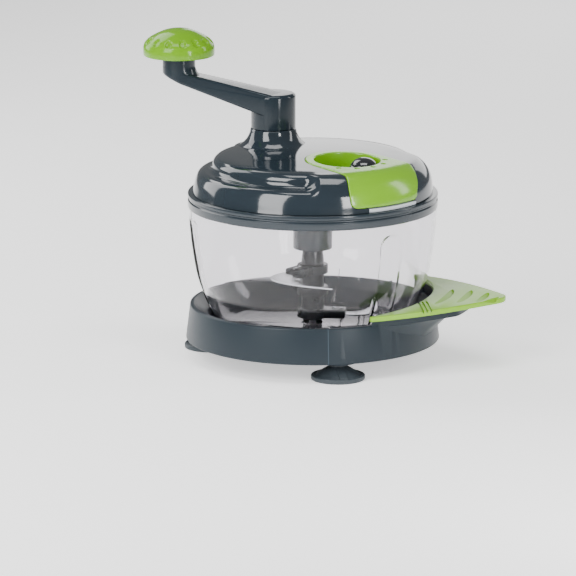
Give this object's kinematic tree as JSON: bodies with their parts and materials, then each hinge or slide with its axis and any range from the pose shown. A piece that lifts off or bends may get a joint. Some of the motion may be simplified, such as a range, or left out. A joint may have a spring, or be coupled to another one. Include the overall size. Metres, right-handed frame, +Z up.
{
  "type": "manual food chopper",
  "caption": "Hand cranked food chopper: clear bowl on a suction base, curved blades on an upright shaft, and a geared lid with a crank and a round knob.",
  "frame": {"origin": "middle of the object's bounding box in plan, at the height of the suction cups' lower faces", "axes": "+Z up along the bowl's axis, +X from the bowl's axis towards the tip of the leaf shaped handle, +Y to the left of that"},
  "size_m": [0.3135, 0.214, 0.274],
  "materials": {
    "slate": "satin moulded plastic",
    "gloss_slate": "polished moulded plastic",
    "lime": "semi gloss moulded plastic",
    "clear": "clear moulded plastic",
    "steel": "brushed stainless steel",
    "rubber": "soft matt rubber",
    "seal": "soft silicone",
    "black": "gloss moulded plastic",
    "pale": "satin moulded plastic",
    "white": "satin acetal"
  },
  "bodies": {
    "base": {"base_shell": "slate", "leaf_handle": "lime", "leaf_screw_1": "steel", "leaf_screw_2": "steel", "cup_front": "rubber", "cup_rear": "rubber", "cup_side": "rubber"},
    "bowl": {"bowl": "clear", "bowl_pin": "steel"},
    "blades": {"blade_shaft": "black", "blade_lower": "steel", "blade_middle": "steel", "blade_upper": "steel", "blade_rivet_1": "steel", "blade_rivet_2": "steel", "blade_rivet_3": "steel", "blade_rivet_4": "steel", "blade_rivet_5": "steel", "blade_rivet_6": "steel"},
    "lid": {"lid_cover": "gloss_slate", "lid_base": "slate", "lid_gasket": "seal", "well_insert": "lime", "lid_screw_1": "steel", "lid_screw_2": "steel", "lid_screw_3": "steel", "lid_screw_4": "steel", "spindle_bush": "white", "button_spring": "steel"},
    "button": {"release_button": "black"},
    "tongue": {"latch_tongue": "pale"},
    "pinion": {"pinion_gear": "white"},
    "crank": {"crank_arm": "gloss_slate", "crank_spindle": "steel", "drive_gear": "white", "gear_screw": "steel", "knob_pin": "steel"},
    "knob": {"knob": "lime"}
  },
  "joints": [
    {"name": "bowl_lift", "type": "slide", "parent": "base", "child": "bowl", "axis": [0, 0, 1], "range_m": [0, 0.09]},
    {"name": "lid_lift", "type": "slide", "parent": "bowl", "child": "lid", "axis": [0, 0, 1], "range_m": [0, 0.13]},
    {"name": "crank_turn", "type": "hinge", "parent": "lid", "child": "crank", "pos_m": [-0.05409, 0.02936, 0.2], "axis": [0, 0, 1], "continuous": true},
    {"name": "pinion_turn", "type": "hinge", "parent": "lid", "child": "pinion", "pos_m": [-0.01057, 0, 0.145], "axis": [0, 0, 1], "continuous": true},
    {"name": "blade_turn", "type": "hinge", "parent": "bowl", "child": "blades", "pos_m": [-0.01057, 0, 0.06], "axis": [0, 0, 1], "continuous": true},
    {"name": "knob_turn", "type": "hinge", "parent": "crank", "child": "knob", "pos_m": [-0.12683, -0.00394, 0.255], "axis": [0, 0, 1], "continuous": true},
    {"name": "button_press", "type": "slide", "parent": "lid", "child": "button", "axis": [0, 0, -1], "range_m": [0, 0.004], "stiffness_N_per_m": 400, "springref_m": -0.002, "deforming": ["button_spring"]},
    {"name": "latch_slide", "type": "slide", "parent": "lid", "child": "tongue", "axis": [-0.8572, 0.515, 0], "range_m": [0, 0.003]}
  ],
  "couplings": [
    {"joint": "pinion_turn", "follows": "crank_turn", "ratio": -2},
    {"joint": "blade_turn", "follows": "crank_turn", "ratio": -2},
    {"joint": "latch_slide", "follows": "button_press", "ratio": 0.75}
  ]
}
